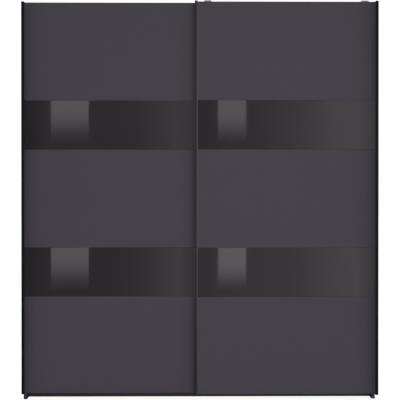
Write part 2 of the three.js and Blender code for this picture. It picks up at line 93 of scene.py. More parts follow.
# ---- Node helpers -------------------------------------------------------------------------------
class Nodes:
    """A node tree under construction and short calls that add to it."""

    def __init__(self, owner, keep=False):
        owner.use_nodes = True
        self.tree = owner.node_tree
        if not keep:
            self.tree.nodes.clear()

    def feed(self, socket, value):
        """Puts another node's output, a colour or a number into a socket."""
        if isinstance(value, bpy.types.NodeSocket):
            self.tree.links.new(value, socket)
        else:
            socket.default_value = (*value, 1.0) if isinstance(value, tuple) else value

    def node(self, kind, inputs=None, **settings):
        """A new node. inputs says what goes into which socket."""
        made = self.tree.nodes.new(kind)
        for key, value in settings.items():
            setattr(made, key, value)
        for key, value in (inputs or {}).items():
            self.feed(made.inputs[key], value)
        return made

    def coords(self, kind):
        return self.node("ShaderNodeTexCoord").outputs[kind]

    def split(self, vector):
        """The X, Y and Z of a vector."""
        return self.node("ShaderNodeSeparateXYZ", {0: vector}).outputs

    def ray(self):
        """What kind of ray meets the surface."""
        return self.node("ShaderNodeLightPath").outputs

    def ranged(self, value, low, high, start=0.3, end=0.7, smooth=False):
        """value from start..end mapped to low..high."""
        ends = {"Value": value, "From Min": start, "From Max": end, "To Min": low, "To Max": high}
        shape = "SMOOTHSTEP" if smooth else "LINEAR"
        return self.node("ShaderNodeMapRange", ends, interpolation_type=shape).outputs["Result"]

    def maths(self, operation, *values):
        return self.node("ShaderNodeMath", dict(enumerate(values)), operation=operation).outputs[0]

    def mixed(self, factor, first, second, kind="RGBA", blend="MIX"):
        """A colour between first and second, or a number where kind is FLOAT."""
        inputs = {"Factor": factor, "A": first, "B": second}
        return self.node("ShaderNodeMix", inputs, data_type=kind, blend_type=blend).outputs["Result"]


class Look(Nodes):
    """A material under construction round a Principled shader."""

    def __init__(self, name, colour, roughness, **sockets):
        self.material = bpy.data.materials.new(name)
        super().__init__(self.material, keep=True)
        self.shader = self.tree.nodes["Principled BSDF"]
        self.place = self.coords("Object")
        self.bumps = None
        self.set(**{"Base Color": colour, "Roughness": roughness}, **sockets)

    def set(self, **sockets):
        for socket, value in sockets.items():
            self.feed(self.shader.inputs[socket], value)

    def colour(self, value):
        self.set(**{"Base Color": value})

    def roughness(self, value):
        self.set(Roughness=value)

    def bump(self, height, depth, strength=1.0):
        """Adds relief of that depth in metres on top of any bump made before."""
        made = self.node("ShaderNodeBump", {"Distance": depth, "Strength": strength, "Height": height})
        if self.bumps is not None:
            self.feed(made.inputs["Normal"], self.bumps)
        self.bumps = made.outputs["Normal"]
        self.set(Normal=self.bumps)

    def stretched(self, stretch):
        """Object coordinates multiplied by stretch, so that a pattern runs long where stretch is small."""
        scale = self.node("ShaderNodeVectorMath", {0: self.place}, operation="MULTIPLY")
        scale.inputs[1].default_value = stretch
        return scale.outputs[0]

    def noise(self, size, detail=3.0, stretch=(1, 1, 1)):
        """Noise whose features are about size metres across."""
        inputs = {"Vector": self.stretched(stretch), "Scale": 1 / size, "Detail": detail, "Roughness": 0.55}
        return self.node("ShaderNodeTexNoise", inputs).outputs["Fac"]

    def cells(self, size, stretch=(1, 1, 1)):
        """How far a point is from the middle of its cell. Cells are about size metres across."""
        inputs = {"Vector": self.stretched(stretch), "Scale": 1 / size}
        return self.node("ShaderNodeTexVoronoi", inputs, feature="F1").outputs["Distance"]

    def facing(self, axis):
        """How far the surface faces along an axis of the object, from -1 to 1."""
        return self.split(self.coords("Normal"))[axis]

    def edges(self):
        """1 on the rounded edges of a square-cut piece, and 0 on its flat faces."""
        x, y, z = (self.maths("ABSOLUTE", self.facing(axis)) for axis in "XYZ")
        squareness = self.maths("MAXIMUM", self.maths("MAXIMUM", x, y), z)
        return self.ranged(squareness, 1.0, 0.0, start=0.8, end=0.98)


def shade(colour, factor):
    return tuple(channel * factor for channel in colour)


# ---- Materials ----------------------------------------------------------------------------------
GRAPHITE = (0.0490, 0.0422, 0.0595)
SLOPE_NORMAL = 0.987  # how far the sloping lips of the edge profiles face forward


def faced_board(name, colour, roughness=0.46):
    """Melamine-faced board: a fine pearl relief, faint mottling, and edges worn lighter and smoother."""
    look = Look(name, colour, roughness)
    mottle = look.noise(0.05, detail=4.0)
    grain = look.noise(0.0011, detail=2.0)
    tint = look.mixed(look.ranged(mottle, 0.0, 1.0), shade(colour, 0.965), shade(colour, 1.035))
    speck = look.ranged(grain, 0.0, 0.22, start=0.55, end=0.8)
    face = look.mixed(speck, tint, shade(colour, 1.5))
    rubbed = look.maths("MULTIPLY", look.edges(), look.ranged(look.noise(0.02, detail=5.0), 0.1, 1.0))
    look.colour(look.mixed(rubbed, face, shade(colour, 1.45)))
    soft = look.ranged(look.noise(0.004), roughness - 0.05, roughness + 0.07)
    look.roughness(look.maths("SUBTRACT", soft, look.maths("MULTIPLY", rubbed, 0.12)))
    look.bump(grain, 0.00006, 0.5)
    look.bump(look.noise(0.0026, detail=1.0), 0.00008, 0.35)
    return look.material


def back_board(name):
    """Thin hardboard: graphite print towards the inside, raw brown fibre towards the wall."""
    print_colour, fibre = shade(GRAPHITE, 1.05), (0.150, 0.096, 0.058)
    look = Look(name, fibre, 0.8)
    strands = look.noise(0.0015, detail=5.0, stretch=(1.0, 1.0, 0.35))
    clouds = look.noise(0.09, detail=3.0)
    raw = look.mixed(look.ranged(strands, 0.0, 1.0), shade(fibre, 0.72), shade(fibre, 1.25))
    raw = look.mixed(look.ranged(clouds, 0.0, 0.5), raw, shade(fibre, 0.8))
    specks = look.cells(1 / 260, stretch=(1.0, 1.0, 0.5))
    fleck = look.ranged(specks, 0.55, 0.0, start=0.06, end=0.16)
    raw = look.mixed(fleck, raw, shade(fibre, 0.35))
    wall_side = look.ranged(look.facing("Y"), 0.0, 1.0, start=0.3, end=0.7)
    look.colour(look.mixed(wall_side, print_colour, raw))
    look.roughness(look.ranged(wall_side, 0.5, 0.85, start=0.0, end=1.0))
    look.bump(strands, 0.0001, 0.6)
    return look.material


def black_glass(name):
    """Glass with a black lacquer behind it: a mirror-like face with faint wiping marks."""
    colour = (0.0125, 0.0112, 0.0132)
    look = Look(name, colour, 0.02, **{"IOR": 1.52})
    wipe = look.noise(0.05, detail=5.0, stretch=(1.0, 1.0, 0.4))
    dust = look.noise(0.0008, detail=1.0)
    film = look.ranged(wipe, 0.015, 0.045, start=0.4, end=0.75)
    look.roughness(look.maths("ADD", film, look.ranged(dust, 0.0, 0.05, start=0.68, end=0.8)))
    look.colour(look.mixed(look.ranged(wipe, 0.0, 1.0), colour, shade(colour, 1.18)))
    look.bump(look.noise(0.16, detail=1.0), 0.00012, 0.25)
    return look.material


def anodised(name, colour, along, slope_highlight=1.0):
    """Extruded aluminium: fine draw lines along the length and a soft satin. The slopes of the lips carry a
    painted highlight: their colour is raised above the rest by the last argument."""
    roughness, stretch = 0.36, tuple(0.012 if axis == along else 1.0 for axis in "XYZ")
    look = Look(name, colour, roughness, **{"Metallic": 0.85})
    lines = look.noise(0.0006, detail=3.0, stretch=stretch)
    patches = look.noise(0.03)
    tint = look.mixed(look.ranged(lines, 0.0, 1.0), shade(colour, 0.86), shade(colour, 1.16))
    tint = look.mixed(look.ranged(patches, 0.0, 0.35), tint, shade(colour, 1.12))
    # painted highlight: the sloping lips of the profiles are coloured brighter than the rest
    highlight_mask = look.maths("COMPARE", look.maths("ABSOLUTE", look.facing("Y")), SLOPE_NORMAL, 0.005)
    look.colour(look.mixed(highlight_mask, tint, shade(colour, slope_highlight)))
    look.roughness(look.ranged(lines, roughness - 0.07, roughness + 0.08))
    look.bump(lines, 0.00002, 0.5)
    return look.material


def zinc_plated(name):
    """Bright zinc on pressed steel: soft spangle, drawn scratches and duller patches."""
    colour = (0.47, 0.48, 0.49)
    look = Look(name, colour, 0.34, **{"Metallic": 1.0})
    spangle = look.cells(0.006)
    scratches = look.noise(0.0007, detail=4.0, stretch=(1.0, 1.0, 0.1))
    dull = look.noise(0.012, detail=4.0)
    tint = look.mixed(look.ranged(spangle, 0.0, 1.0, 0.1, 0.8), shade(colour, 0.84), shade(colour, 1.14))
    look.colour(look.mixed(look.ranged(dull, 0.0, 0.6), tint, (0.33, 0.335, 0.33)))
    look.roughness(look.maths("ADD", look.ranged(dull, 0.22, 0.42), look.ranged(scratches, 0.0, 0.1)))
    look.bump(scratches, 0.00002, 0.6)
    return look.material


def black_coated(name):
    """Black powder coat with its fine orange peel."""
    colour = (0.017, 0.017, 0.019)
    look = Look(name, colour, 0.42)
    peel = look.noise(0.0016, detail=2.0)
    look.colour(look.mixed(look.ranged(look.noise(0.01), 0.0, 1.0), colour, shade(colour, 1.5)))
    look.roughness(look.ranged(peel, 0.34, 0.52))
    look.bump(peel, 0.00008, 0.6)
    return look.material


def chrome(name):
    """Chromed tube: bright, with hairlines along its length and hazy patches from use."""
    colour = (0.63, 0.64, 0.65)
    look = Look(name, colour, 0.1, **{"Metallic": 1.0})
    hair = look.noise(0.0005, detail=3.0, stretch=(0.02, 1.0, 1.0))
    haze = look.noise(0.03, detail=4.0)
    look.colour(look.mixed(look.ranged(haze, 0.0, 1.0), colour, shade(colour, 0.9)))
    look.roughness(look.maths("ADD", look.ranged(haze, 0.05, 0.16), look.ranged(hair, 0.0, 0.06)))
    look.bump(hair, 0.000006, 0.5)
    return look.material


def moulded_black(name):
    """Black plastic with the spark-eroded texture of its mould, scuffed lighter in places."""
    colour = (0.016, 0.016, 0.018)
    look = Look(name, colour, 0.5)
    texture = look.noise(0.0006, detail=2.0)
    scuff = look.noise(0.008, detail=5.0)
    look.colour(look.mixed(look.ranged(scuff, 0.0, 1.0, 0.45, 0.75), colour, shade(colour, 2.2)))
    look.roughness(look.ranged(scuff, 0.42, 0.6))
    look.bump(texture, 0.00004, 0.7)
    return look.material


def nylon(name):
    """Natural white nylon: slightly yellow, faintly cloudy, with a fine grain."""
    colour = (0.74, 0.73, 0.67)
    look = Look(name, colour, 0.38, **{"Subsurface Weight": 0.15, "Subsurface Scale": 0.002})
    cloud = look.noise(0.006, detail=3.0)
    look.colour(look.mixed(look.ranged(cloud, 0.0, 1.0), colour, (0.66, 0.65, 0.58)))
    look.roughness(look.ranged(cloud, 0.3, 0.46))
    look.bump(look.noise(0.0007, detail=2.0), 0.00003, 0.5)
    return look.material


LOOKS = {
    "door_board": faced_board("door_board_look", GRAPHITE),
    "carcass_board": faced_board("carcass_board_look", shade(GRAPHITE, 1.03), roughness=0.5),
    "hardboard": back_board("hardboard_look"),
    "black_glass": black_glass("black_glass_look"),
    # the sloping lips of these profiles carry a painted highlight
    "dark_aluminium": anodised("profile_aluminium_look", (0.046, 0.044, 0.050), "Z", slope_highlight=2.4),
    "zinc_steel": zinc_plated("zinc_steel_look"),
    "black_steel": black_coated("black_steel_look"),
    "chrome_tube": chrome("chrome_tube_look"),
    "black_plastic": moulded_black("black_plastic_look"),
    "white_nylon": nylon("white_nylon_look"),
}
TRACK_LOOK = anodised("track_aluminium_look", (0.16, 0.157, 0.165), "X")
# painted shade: a darker copy of the profile aluminium for the outer edge profiles, which are the same
# extrusions as the others
SHADED_OUTER_PROFILE_LOOK = anodised("outer_profile_painted_shade_look", (0.020, 0.0193, 0.0213), "Z")
NODE_LOOKS = {  # nodes that don't take the look of their slot
    "top_track": TRACK_LOOK,
    "track_guard": TRACK_LOOK,
    "bottom_guide_rail": TRACK_LOOK,
    "left_door_profile_left": SHADED_OUTER_PROFILE_LOOK,
    "right_door_profile_right": SHADED_OUTER_PROFILE_LOOK,
}


# ---- Geometry helpers ---------------------------------------------------------------------------
def facing_along(direction, at):
    """A matrix that carries +Z onto direction and the origin to a place."""
    turn = Vector((0, 0, 1)).rotation_difference(Vector(direction)).to_matrix().to_4x4()
    return Matrix.Translation(at) @ turn


SHARP_EDGE = math.radians(35)


class Form:
    """Closed forms collected into one piece."""

    def __init__(self):
        self.points, self.faces = [], []

    def add(self, points, faces, place=None):
        place = place or Matrix.Identity(4)
        start = len(self.points)
        self.points += [place @ Vector(p) for p in points]
        self.faces += [[start + i for i in face] for face in faces]
        return self

    def lathe(self, profile, place=None, segments=48):
        """A form turned about Z. Each point of the profile is (radius, height). The profile ends on the axis
        at both ends, or closes on itself."""
        points, rings = [], []
        for radius, height in profile:
            if radius == 0:
                rings.append([len(points)] * segments)
                points.append((0, 0, height))
                continue
            rings.append(list(range(len(points), len(points) + segments)))
            points += [(x, y, height) for x, y in circle(radius, segments)]
        faces = []
        if profile[0][0] > 0:
            rings.append(rings[0])
        for low, high in zip(rings, rings[1:]):
            for i in range(segments):
                j = (i + 1) % segments
                corners = list(dict.fromkeys((low[i], low[j], high[j], high[i])))
                if len(corners) > 2:
                    faces.append(corners)
        return self.add(points, faces, place)

    def cap(self, outlines, height, place=None):
        """The first outline less the others, as a flat surface."""
        loops = [[Vector((x, y, height)) for x, y in outline] for outline in outlines]
        triangles = tessellate_polygon(loops)
        return self.add([point for loop in loops for point in loop], triangles, place)

    def wall(self, outline, low, high, place=None):
        """An outline run from one height to another, without ends."""
        count = len(outline)
        points = [(x, y, z) for z in (low, high) for x, y in outline]
        faces = [[i, (i + 1) % count, (i + 1) % count + count, i + count] for i in range(count)]
        return self.add(points, faces, place)

    def prism(self, outlines, low, high, place=None):
        """The first outline less the others, run from one height to another and closed."""
        for outline in outlines:
            self.wall(outline, low, high, place)
        return self.cap(outlines, low, place).cap(outlines, high, place)

    def block(self, low, high, rounding):
        """A block between two corners with rounded edges."""
        work = bmesh.new()
        size = Vector(high) - Vector(low)
        centre = (Vector(high) + Vector(low)) / 2
        bmesh.ops.create_cube(work, matrix=Matrix.Translation(centre) @ Matrix.Diagonal((*size, 1.0)))
        edges = work.edges[:]
        bmesh.ops.bevel(work, geom=edges, offset=rounding, segments=2, profile=0.5, affect="EDGES")
        work.verts.index_update()
        points = [v.co.copy() for v in work.verts]
        faces = [[v.index for v in face.verts] for face in work.faces]
        work.free()
        return self.add(points, faces)

    def mesh(self, name):
        """A mesh of the forms, smooth except at edges sharper than SHARP_EDGE."""
        work = bmesh.new()
        corners = [work.verts.new(point) for point in self.points]
        for face in self.faces:
            work.faces.new([corners[i] for i in face])
        bmesh.ops.remove_doubles(work, verts=work.verts[:], dist=1e-6)
        bmesh.ops.recalc_face_normals(work, faces=work.faces[:])
        mesh = bpy.data.meshes.new(name)
        work.to_mesh(mesh)
        work.free()
        mesh.polygons.foreach_set("use_smooth", [True] * len(mesh.polygons))
        mesh.set_sharp_from_angle(angle=SHARP_EDGE)
        return mesh

    def piece(self, name, body, slot):
        """The forms as a piece that rides on a body."""
        made = bpy.data.objects.new(name, self.mesh(name))
        bpy.context.scene.collection.objects.link(made)
        made.data.materials.append(LOOKS[slot])
        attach(made, body)
        return made


def circle(radius, count):
    turns = (2 * math.pi * i / count for i in range(count))
    return [(radius * math.cos(a), radius * math.sin(a)) for a in turns]


def stadium(length, width):
    """The outline of an oval with straight sides. Its length runs along the first coordinate."""
    radius, steps = width / 2, 16
    straight = length / 2 - radius
    outline = []
    for centre, start in ((straight, -math.pi / 2), (-straight, math.pi / 2)):
        angles = (start + math.pi * i / steps for i in range(steps + 1))
        outline += [(centre + radius * math.cos(a), radius * math.sin(a)) for a in angles]
    return outline


def scaled(profile):
    """A profile in millimetres, in metres."""
    return [(a * MM, b * MM) for a, b in profile]


def cross(reach, half):
    """The outline of a cross recess."""
    quarter = [(reach, -half), (reach, half), (half, half)]
    outline = []
    for turn in range(4):
        c, s = round(math.cos(turn * math.pi / 2)), round(math.sin(turn * math.pi / 2))
        outline += [(x * c - y * s, x * s + y * c) for x, y in quarter]
    return outline


def recessed_head(form, rings, radius, place, turn):
    """A screw head: rings are (radius, height) from the lowest centre up to the rim of a flat top with a
    cross recess. Heights and radii are in head radii."""
    segments, reach, half_width, depth, taper = 24, 0.56, 0.15, 0.42, 0.9
    spin = Matrix.Rotation(turn, 4, "Z")
    rings = [(r * radius, h * radius) for r, h in rings]
    points = [(0, 0, rings[0][1])]
    for r, h in rings[1:]:
        points += [(x, y, h) for x, y in circle(r, segments)]
    count = len(rings) - 1
    faces = [[0, 1 + (i + 1) % segments, 1 + i] for i in range(segments)]
    for level in range(count - 1):
        low, high = 1 + level * segments, 1 + (level + 1) * segments
        for i in range(segments):
            j = (i + 1) % segments
            faces.append([low + i, low + j, high + j, high + i])
    rim = 1 + (count - 1) * segments
    top = rings[-1][1]
    recess = cross(reach * radius, half_width * radius)
    floor_height = top - depth * radius
    start = len(points)
    points += [(x, y, top) for x, y in recess]
    points += [(x * taper, y * taper, floor_height) for x, y in recess]
    names = [rim + i for i in range(segments)] + [start + i for i in range(len(recess))]
    cap = tessellate_polygon([
        [Vector((x, y, 0)) for x, y in circle(rings[-1][0], segments)],
        [Vector((x, y, 0)) for x, y in recess],
    ])
    faces += [[names[i] for i in triangle] for triangle in cap]
    for i in range(len(recess)):
        j = (i + 1) % len(recess)
        faces.append([start + i, start + j, start + len(recess) + j, start + len(recess) + i])
    faces.append([start + len(recess) + i for i in range(len(recess))])
    form.add(points, faces, place @ spin)


PAN = [(0, -0.6), (0.5, -0.6), (0.5, 0.0), (1.0, 0.0), (1.0, 0.2), (0.94, 0.42), (0.78, 0.6), (0.62, 0.66)]
SCREW_TURN = 0.7  # radians from one screw to the next


def screws(name, body, places, direction, radius, kind=PAN, slot="zinc_steel"):
    """Screw heads at places, all facing one way, each turned a little differently."""
    form = Form()
    for i, place in enumerate(places):
        recessed_head(form, kind, radius, facing_along(direction, place), SCREW_TURN * i)
    return form.piece(name, body, slot)


def round_edges(thing, width):
    bevel = thing.modifiers.new("bevel", "BEVEL")
    bevel.width, bevel.segments = width, 2
    bevel.limit_method, bevel.angle_limit = "ANGLE", math.radians(40)
    bevel.harden_normals = True


def soften(node, width):
    """Rounds a CAD node's edges by modifiers and leaves its mesh alone."""
    thing = frame["nodes"][node]
    weld = thing.modifiers.new("weld", "WELD")
    weld.merge_threshold = 1e-6
    round_edges(thing, width)


EDGE_ROUNDING = {
    "door_board": 0.6 * MM, "carcass_board": 0.8 * MM, "hardboard": 0.25 * MM, "black_glass": 0.5 * MM,
    "dark_aluminium": 0.2 * MM, "zinc_steel": 0.3 * MM, "black_steel": 0.4 * MM,
    "black_plastic": 0.35 * MM, "white_nylon": 0.5 * MM,
}


def dress_cad_nodes():
    """Gives every CAD node its procedural material and real, slightly rounded edges."""
    slot_of = {part["node"]: part["material_slot"] for part in frame["record"]["subparts"]}
    for node, thing in frame["nodes"].items():
        slot = slot_of[node]
        for holder in thing.material_slots:
            holder.material = NODE_LOOKS.get(node, LOOKS[slot])
        if slot in EDGE_ROUNDING:
            soften(node, EDGE_ROUNDING[slot])


dress_cad_nodes()


# ---- Rollers and axles, in millimetres ----------------------------------------------------------
WHEEL_RADIUS, WHEEL_HALF, GROOVE_RADIUS, GROOVE_HALF = 14.0, 4.5, 12.4, 1.7
BEARING_RADIUS, BEARING_HALF, BORE_RADIUS = 8.0, 2.5, 4.05
SEAL_RADII = 5.2, 6.9


def tyre_profile():
    """Half of the nylon tyre's section, mirrored to the other side of the groove."""
    half = [
        (BEARING_RADIUS, 2.6),
        (8.5, 2.8),
        (8.9, 3.3),
        (9.1, 4.1),
        (9.5, WHEEL_HALF),
        (13.3, WHEEL_HALF),
        (13.75, 4.35),
        (WHEEL_RADIUS, 3.9),
        (WHEEL_RADIUS, 2.2),
    ]
    steps = 8
    depth = WHEEL_RADIUS - GROOVE_RADIUS
    for i in range(steps + 1):
        angle = 0.5 * math.pi * i / steps
        half.append((WHEEL_RADIUS - depth * math.sin(angle), GROOVE_HALF * math.cos(angle)))
    return half + [(radius, -height) for radius, height in reversed(half[:-1])]


def race(inner, outer):
    """The section of one bearing race."""
    ease, half = 0.2, BEARING_HALF
    return [
        (inner, half - ease), (inner + ease, half), (outer - ease, half), (outer, half - ease),
        (outer, ease - half), (outer - ease, -half), (inner + ease, -half), (inner, ease - half),
    ]


def seal(inner, outer):
    """The section of the bearing's two seals, as one dished ring."""
    half = BEARING_HALF
    return [
        (inner, half - 0.7), ((inner + outer) / 2, half - 0.35), (outer, half - 0.5),
        (outer, 0.5 - half), ((inner + outer) / 2, 0.35 - half), (inner, 0.7 - half),
    ]


AXLE = [  # radius, distance from the front of the plate that holds it
    (0, 0), (3.7, 0), (4, 0.3), (4, 3.2), (5.8, 3.2), (6, 3.4), (6, 7.7), (5.8, 7.9), (4, 7.9), (4, 17.5),
    (5.8, 17.5), (6, 17.8), (5.9, 18.4), (5.4, 18.9), (4.2, 19.2), (2, 19.3), (0, 19.3),
]


def rollers():
    """Each roller is a nylon tyre moulded round a sealed ball bearing, on a riveted axle."""
    for door in DOORS:
        for side in SIDES:
            wheel = f"{door}_wheel_{side}"
            low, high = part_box(wheel)
            turned = facing_along((0, 1, 0), (low + high) / 2)
            tyre = Form().lathe(scaled(tyre_profile()), turned, 72)
            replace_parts(tyre.piece(f"{wheel}_tyre", wheel, "white_nylon"), wheel)
            bearing = Form()
            bearing.lathe(scaled(race(BORE_RADIUS, SEAL_RADII[0])), turned)
            bearing.lathe(scaled(race(SEAL_RADII[1], BEARING_RADIUS)), turned)
            bearing.piece(f"{wheel}_bearing", wheel, "zinc_steel")
            ring = Form().lathe(scaled(seal(*SEAL_RADII)), turned)
            ring.piece(f"{wheel}_seal", wheel, "black_plastic")

            axle = f"{door}_axle_{side}"
            low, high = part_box(axle)
            start = Vector(((low.x + high.x) / 2, low.y, (low.z + high.z) / 2))
            turned = facing_along((0, 1, 0), start)
            rivet = Form().lathe(scaled(AXLE), turned)
            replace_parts(rivet.piece(f"{axle}_turned", door, "zinc_steel"), axle)


rollers()


# ---- Hanging rails ------------------------------------------------------------------------------
def hanging_rails():
    """Oval tubes in oval cups, each cup with a flange and two screws."""
    wall, flange_length, flange_width, flange = 1 * MM, 66 * MM, 24 * MM, 2 * MM
    fit, cup_wall, screw_reach = 0.3 * MM, 2 * MM, 26 * MM
    for side in SIDES:
        low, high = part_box(f"hanging_rail_{side}")
        centre, height, depth = (low + high) / 2, high.z - low.z, high.y - low.y
        along = facing_along((1, 0, 0), (0, centre.y, centre.z))
        sections = [stadium(height, depth), stadium(height - 2 * wall, depth - 2 * wall)]
        tube = Form().prism(sections, low.x, high.x, along)
        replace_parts(tube.piece(f"hanging_tube_{side}", "root", "chrome_tube"), f"hanging_rail_{side}")
        hole = stadium(height + 2 * fit, depth + 2 * fit)
        cup = stadium(height + 2 * fit + 2 * cup_wall, depth + 2 * fit + 2 * cup_wall)
        for n, inward in ((1, 1), (2, -1)):
            low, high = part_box(f"rail_socket_{side}_{n}")
            panel, mouth = (low.x, high.x) if inward > 0 else (high.x, low.x)
            plate, face = stadium(flange_length, flange_width), panel + inward * flange
            form = Form().cap([plate, hole], panel, along).cap([plate, cup], face, along)
            form.cap([cup, hole], mouth, along).wall(hole, panel, mouth, along)
            form.wall(plate, panel, face, along).wall(cup, face, mouth, along)
            made = form.piece(f"rail_cup_{side}_{n}", "root", "zinc_steel")
            round_edges(made, 0.4 * MM)
            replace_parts(made, f"rail_socket_{side}_{n}")
            places = [(face, centre.y, centre.z + up) for up in (-screw_reach, screw_reach)]
            screws(f"rail_cup_screws_{side}_{n}", "root", places, (inward, 0, 0), 3.4 * MM)


hanging_rails()


# ---- Shelf pins and the rows of holes for them --------------------------------------------------
PIN_RADIUS = 2.5 * MM
PIN = [  # radius, distance from the board's face
    (0, -4), (2.4, -4), (2.4, 0), (4, 0), (4, 0.3), (3.9, 0.4), (2.5, 0.4), (2.5, 7.2), (2.1, 7.6), (0, 7.6),
]
HOLE_PITCH, HOLES_EACH_WAY, HOLE_DEPTH = 32 * MM, 6, 7 * MM
FRONT_HOLE_INSET, REAR_HOLE_INSET = 11 * MM, 37 * MM  # from the shelf's front edge and the board's rear edge


def inner_faces():
    """The carcass faces that carry shelves: a board, X of its face, the way it faces and its side."""
    partition_low, partition_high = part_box("centre_partition")
    return [
        ("side_panel_left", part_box("side_panel_left")[1].x, 1, "left"),
        ("centre_partition", partition_low.x, -1, "left"),
        ("centre_partition", partition_high.x, 1, "right"),
        ("side_panel_right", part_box("side_panel_right")[0].x, -1, "right"),
    ]


def pins_and_holes():
    """Four pins under each hat shelf, and more holes above and below them."""
    pins, cutters = Form(), {}
    for board, face, outward, side in inner_faces():
        shelf_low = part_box(f"hat_shelf_{side}")[0]
        board_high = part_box(board)[1]
        height = shelf_low.z - PIN_RADIUS
        for y in (shelf_low.y + FRONT_HOLE_INSET, board_high.y - REAR_HOLE_INSET):
            pins.lathe(scaled(PIN), facing_along((outward, 0, 0), (face, y, height)), 32)
            for k in range(-HOLES_EACH_WAY, HOLES_EACH_WAY + 1):
                if k == 0:
                    continue
                place = facing_along((outward, 0, 0), (face, y, height + k * HOLE_PITCH))
                bore = [(0, -HOLE_DEPTH), (PIN_RADIUS, -HOLE_DEPTH), (PIN_RADIUS, MM), (0, MM)]
                cutters.setdefault(board, Form()).lathe(bore, place, 24)
    pins.piece("shelf_pins", "root", "zinc_steel")
    for board, form in cutters.items():
        cutter = bpy.data.objects.new(f"{board}_bores", form.mesh(f"{board}_bores"))
        bpy.context.scene.collection.objects.link(cutter)
        cutter.hide_render = True
        cutter.hide_viewport = True
        thing = frame["nodes"][board]
        drill = thing.modifiers.new("drill", "BOOLEAN")
        drill.operation, drill.solver, drill.object = "DIFFERENCE", "EXACT", cutter
        thing.modifiers.move(len(thing.modifiers) - 1, 1)  # between the weld and the bevel


pins_and_holes()


# ---- Fastenings ---------------------------------------------------------------------------------
# The radius of each point and its height above the face: in head radii for CAP, else in millimetres.
NAIL = [(0, -0.3), (2.2, -0.3), (2.2, 0.12), (1.9, 0.32), (1.2, 0.44), (0, 0.48)]
CAP = [(0, -0.06), (1.0, -0.06), (1.0, 0.06), (0.96, 0.11), (0.88, 0.13), (0.8, 0.1)]
RIVET = [(0, -0.3), (3, -0.3), (3, 0.2), (2.6, 0.8), (1.6, 1.15), (0, 1.25)]
FIXING_SCREW, TRACK_SCREW, GUARD_SCREW, BRACKET_SCREW = 3.6 * MM, 3.4 * MM, 2.6 * MM, 4 * MM  # head radii


def evenly(start, end, spacing):
    """Numbers from start to end, about spacing apart."""
    count = max(1, round((end - start) / spacing))
    return [start + (end - start) * i / count for i in range(count + 1)]


def cam_covers():
    """Covers over the cam locks that hold the top and bottom boards between the upright ones."""
    side_inset, front_inset, rear_inset, radius = 34 * MM, 62 * MM, 40 * MM, 8 * MM
    top_low, top_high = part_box("top_panel")
    bottom_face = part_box("bottom_panel")[1].z
    partition_low, partition_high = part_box("centre_partition")
    bays = ((top_low.x, partition_low.x), (partition_high.x, top_high.x))
    across = [x for start, end in bays for x in (start + side_inset, end - side_inset)]
    depths = (top_low.y + front_inset, (top_low.y + top_high.y) / 2, top_high.y - rear_inset)
    for name, z, way in (("top", top_low.z, -1), ("bottom", bottom_face, 1)):
        places = [(x, y, z) for x in across for y in depths]
        screws(f"cam_covers_{name}", "root", places, (0, 0, way), radius, CAP, "black_plastic")


def back_nails():
    """Nails through the back panels into the rear edges of the carcass boards."""
    half_board, beside_joint, corner, up_spacing, across_spacing = 8 * MM, 4 * MM, 50 * MM, 120 * MM, 110 * MM
    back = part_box("back_panel_1")[1].y
    low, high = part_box("back_panel_1")[0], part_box("back_panel_4")[1]
    columns = (low.x + half_board, -beside_joint, beside_joint, high.x - half_board)
    rows = (low.z + half_board, high.z - half_board)
    up = evenly(rows[0] + corner, rows[1] - corner, up_spacing)
    across = evenly(columns[0], columns[-1], across_spacing)
    form = Form()
    for x, z in [(x, z) for x in columns for z in up] + [(x, z) for z in rows for x in across]:
        form.lathe(scaled(NAIL), facing_along((0, 1, 0), (x, back, z)), 14)
    form.piece("back_nails", "root", "zinc_steel")


def track_screws():
    """Screws in the floor of the track, along the foot of its guard and in its end stops."""
    inset, spacing, base, guard_foot, stop_inset = 60 * MM, 280 * MM, 2 * MM, 3.2 * MM, 13 * MM
    low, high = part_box("top_track")
    between_ridges = low.y + 19 * MM
    track_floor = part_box("side_panel_left")[1].z + base
    row = evenly(low.x + inset, high.x - inset, spacing)
    places = [(x, between_ridges, track_floor) for x in row]
    screws("track_screws", "root", places, (0, 0, 1), TRACK_SCREW)
    low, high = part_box("track_guard")
    places = [(x, high.y, low.z + guard_foot) for x in row]
    screws("guard_screws", "root", places, (0, 1, 0), GUARD_SCREW)
    for side in SIDES:
        low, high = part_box(f"track_stop_{side}")
        x = low.x + stop_inset if side == "left" else high.x - stop_inset
        screws(f"stop_screw_{side}", "root", [(x, between_ridges, high.z)], (0, 0, 1), TRACK_SCREW)


def bracket_screws():
    """Two screws through the foot of each wall bracket."""
    steel, inset, apart = 2 * MM, 15 * MM, 8 * MM
    for side in SIDES:
        low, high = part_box(f"wall_bracket_{side}")
        middle = (low.x + high.x) / 2
        places = [(middle + x, low.y + inset, low.z + steel) for x in (-apart, apart)]
        screws(f"bracket_screws_{side}", "root", places, (0, 0, 1), BRACKET_SCREW)


def door_screws():
    """Screws through the hangers and guides into the backs of the leaves."""
    apart, steel = 11 * MM, 3 * MM
    fixings = {  # node, piece, thickness of the plate, heights of the screws above the node's foot
        "left_door": [("hanger", "hanger", steel, (12, 32)), ("guide", "guide", 4 * MM, (36,))],
        "right_door": [("hanger", "hanger", steel, (12, 32)), ("guide_arm", "guide", steel, (40,))],
    }
    for door in DOORS:
        for side in SIDES:
            for node, piece, plate, heights in fixings[door]:
                low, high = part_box(f"{door}_{node}_{side}")
                middle = (low.x + high.x) / 2
                across = (middle - apart, middle + apart)
                places = [(x, low.y + plate, low.z + height * MM) for x in across for height in heights]
                screws(f"{door}_{piece}_screws_{side}", door, places, (0, 1, 0), FIXING_SCREW)


